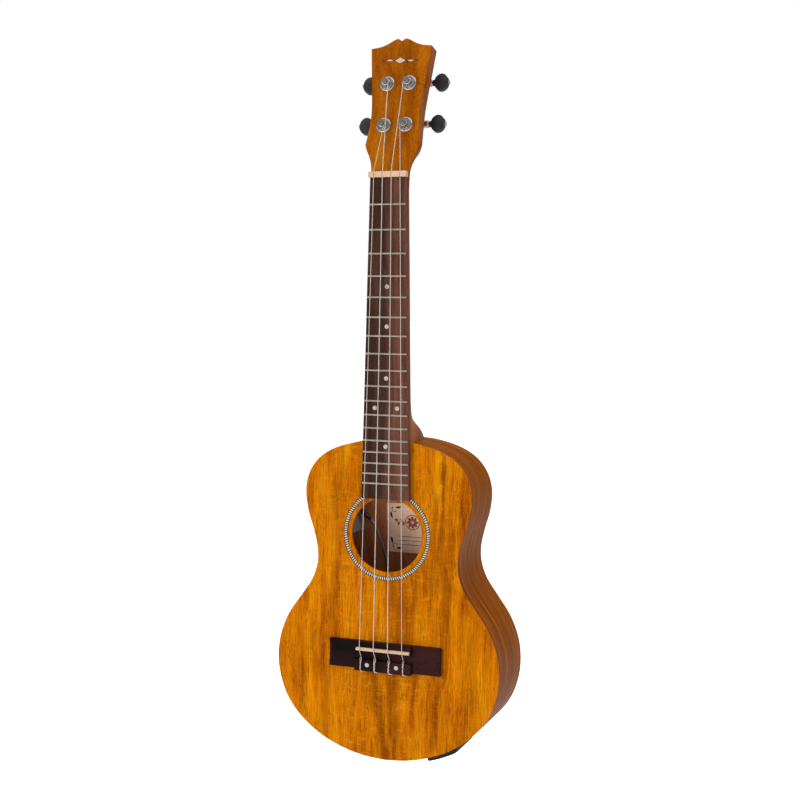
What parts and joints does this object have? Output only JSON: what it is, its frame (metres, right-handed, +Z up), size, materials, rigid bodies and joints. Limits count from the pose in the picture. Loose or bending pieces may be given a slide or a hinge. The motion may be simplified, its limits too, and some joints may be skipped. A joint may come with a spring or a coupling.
{
  "type": "ukulele",
  "caption": "Tenor ukulele with a waisted arched-back body, geared tuners, a tie bridge, an under-saddle pickup, a side preamp and a tail panel with jack and battery door.",
  "frame": {"origin": "centre of the nut's front edge, in the plane of the soundboard's outer face, which is also the glue plane under the fretboard", "axes": "+Z up the neck towards the headstock, -Y out of the soundboard towards the player of the strings, +X to the thinnest (A) string side"},
  "size_m": [0.2194, 0.0902, 0.6684],
  "materials": {
    "top_wood": "satin open-pore finish on figured acacia",
    "body_wood": "satin dark stained acacia",
    "head_wood": "satin",
    "neck_wood": "satin mahogany-type neck wood",
    "fretboard_wood": "oiled dark rosewood-type wood",
    "bridge_wood": "oiled dark rosewood-type wood",
    "pale_wood": "bare sanded softwood and lining wood",
    "rosette": "inlaid rope pattern of light and dark slips",
    "paper": "matt cream paper with a printed ornament",
    "fret_metal": "polished nickel silver",
    "pearl": "pearl",
    "bone": "polished bone-like plastic",
    "nylon": "clear white nylon",
    "chrome": "polished chrome plate",
    "steel": "plain steel",
    "button_plastic": "satin black plastic",
    "black_plastic": "fine moulded texture",
    "grey_plastic": "moulded",
    "display": "smoked window",
    "cable": "soft grey sheath",
    "braid": "woven copper braid"
  },
  "bodies": {
    "instrument": {"soundboard": "top_wood", "back": "body_wood", "side_bass": "body_wood", "side_treble": "body_wood", "neck_block": "pale_wood", "tail_block": "pale_wood", "linings": "pale_wood", "soundboard_braces": "pale_wood", "back_braces": "pale_wood", "bridge_plate": "pale_wood", "rosette": "rosette", "label": "paper", "neck": "neck_wood", "neck_dowels": "pale_wood", "headstock_veneer": "head_wood", "fretboard": "fretboard_wood", "frets": "fret_metal", "fret_markers": "pearl", "nut": "bone", "saddle": "bone", "bridge": "bridge_wood", "bridge_bolts": "steel", "bridge_dots": "pearl", "string_g": "nylon", "string_c": "nylon", "string_e": "nylon", "string_a": "nylon", "tuner_housings": "chrome", "tuner_washers": "chrome", "tuner_bushings": "chrome", "small_screws": "chrome", "preamp_housing": "grey_plastic", "preamp_panel": "black_plastic", "preamp_display": "display", "preamp_cable": "cable", "jack_panel": "black_plastic", "output_socket": "chrome", "coin_cells": "steel", "pickup_strip": "braid"},
    "button_g": {"worm_shaft_g": "chrome", "tuner_button_g": "button_plastic", "button_screw_g": "chrome"},
    "post_g": {"string_post_g": "chrome"},
    "button_c": {"worm_shaft_c": "chrome", "tuner_button_c": "button_plastic", "button_screw_c": "chrome"},
    "post_c": {"string_post_c": "chrome"},
    "button_e": {"worm_shaft_e": "chrome", "tuner_button_e": "button_plastic", "button_screw_e": "chrome"},
    "post_e": {"string_post_e": "chrome"},
    "button_a": {"worm_shaft_a": "chrome", "tuner_button_a": "button_plastic", "button_screw_a": "chrome"},
    "post_a": {"string_post_a": "chrome"},
    "tuner_key_body": {"tuner_key": "black_plastic"},
    "volume_knob_body": {"volume_knob": "black_plastic"},
    "bass_knob_body": {"bass_knob": "black_plastic"},
    "treble_knob_body": {"treble_knob": "black_plastic"},
    "battery_door_body": {"battery_door": "black_plastic"}
  },
  "joints": [
    {"name": "button_g_turn", "type": "hinge", "parent": "instrument", "child": "button_g", "pos_m": [-0.025, 0.03001, 0.05084], "axis": [-1, 0, 0], "continuous": true},
    {"name": "post_g_turn", "type": "hinge", "parent": "instrument", "child": "post_g", "pos_m": [-0.0106, 0.00958, 0.04881], "axis": [0, -0.9763, 0.2164], "continuous": true},
    {"name": "button_c_turn", "type": "hinge", "parent": "instrument", "child": "button_c", "pos_m": [-0.025, 0.03858, 0.0895], "axis": [-1, 0, 0], "continuous": true},
    {"name": "post_c_turn", "type": "hinge", "parent": "instrument", "child": "post_c", "pos_m": [-0.0106, 0.01815, 0.08748], "axis": [0, -0.9763, 0.2164], "continuous": true},
    {"name": "button_e_turn", "type": "hinge", "parent": "instrument", "child": "button_e", "pos_m": [0.025, 0.03858, 0.0895], "axis": [1, 0, 0], "continuous": true},
    {"name": "post_e_turn", "type": "hinge", "parent": "instrument", "child": "post_e", "pos_m": [0.0106, 0.01815, 0.08748], "axis": [0, -0.9763, 0.2164], "continuous": true},
    {"name": "button_a_turn", "type": "hinge", "parent": "instrument", "child": "button_a", "pos_m": [0.025, 0.03001, 0.05084], "axis": [1, 0, 0], "continuous": true},
    {"name": "post_a_turn", "type": "hinge", "parent": "instrument", "child": "post_a", "pos_m": [0.0106, 0.00958, 0.04881], "axis": [0, -0.9763, 0.2164], "continuous": true},
    {"name": "volume_turn", "type": "hinge", "parent": "instrument", "child": "volume_knob_body", "pos_m": [-0.08235, 0.05, -0.30505], "axis": [-0.9659, 0, -0.2588], "range_deg": [-140, 140]},
    {"name": "bass_turn", "type": "hinge", "parent": "instrument", "child": "bass_knob_body", "pos_m": [-0.07963, 0.05, -0.31519], "axis": [-0.9659, 0, -0.2588], "range_deg": [-140, 140]},
    {"name": "treble_turn", "type": "hinge", "parent": "instrument", "child": "treble_knob_body", "pos_m": [-0.07691, 0.05, -0.32533], "axis": [-0.9659, 0, -0.2588], "range_deg": [-140, 140]},
    {"name": "tuner_key_press", "type": "slide", "parent": "instrument", "child": "tuner_key_body", "axis": [0.9659, 0, 0.2588], "range_m": [0, 0.0008], "stiffness_N_per_m": 300},
    {"name": "battery_door_hinge", "type": "hinge", "parent": "instrument", "child": "battery_door_body", "pos_m": [0.05292, 0.017, -0.53128], "axis": [-0.9272, 0, -0.3746], "range_deg": [0, 95]}
  ],
  "couplings": [
    {"joint": "post_g_turn", "follows": "button_g_turn", "ratio": -0.071429},
    {"joint": "post_c_turn", "follows": "button_c_turn", "ratio": -0.071429},
    {"joint": "post_e_turn", "follows": "button_e_turn", "ratio": 0.071429},
    {"joint": "post_a_turn", "follows": "button_a_turn", "ratio": 0.071429}
  ]
}
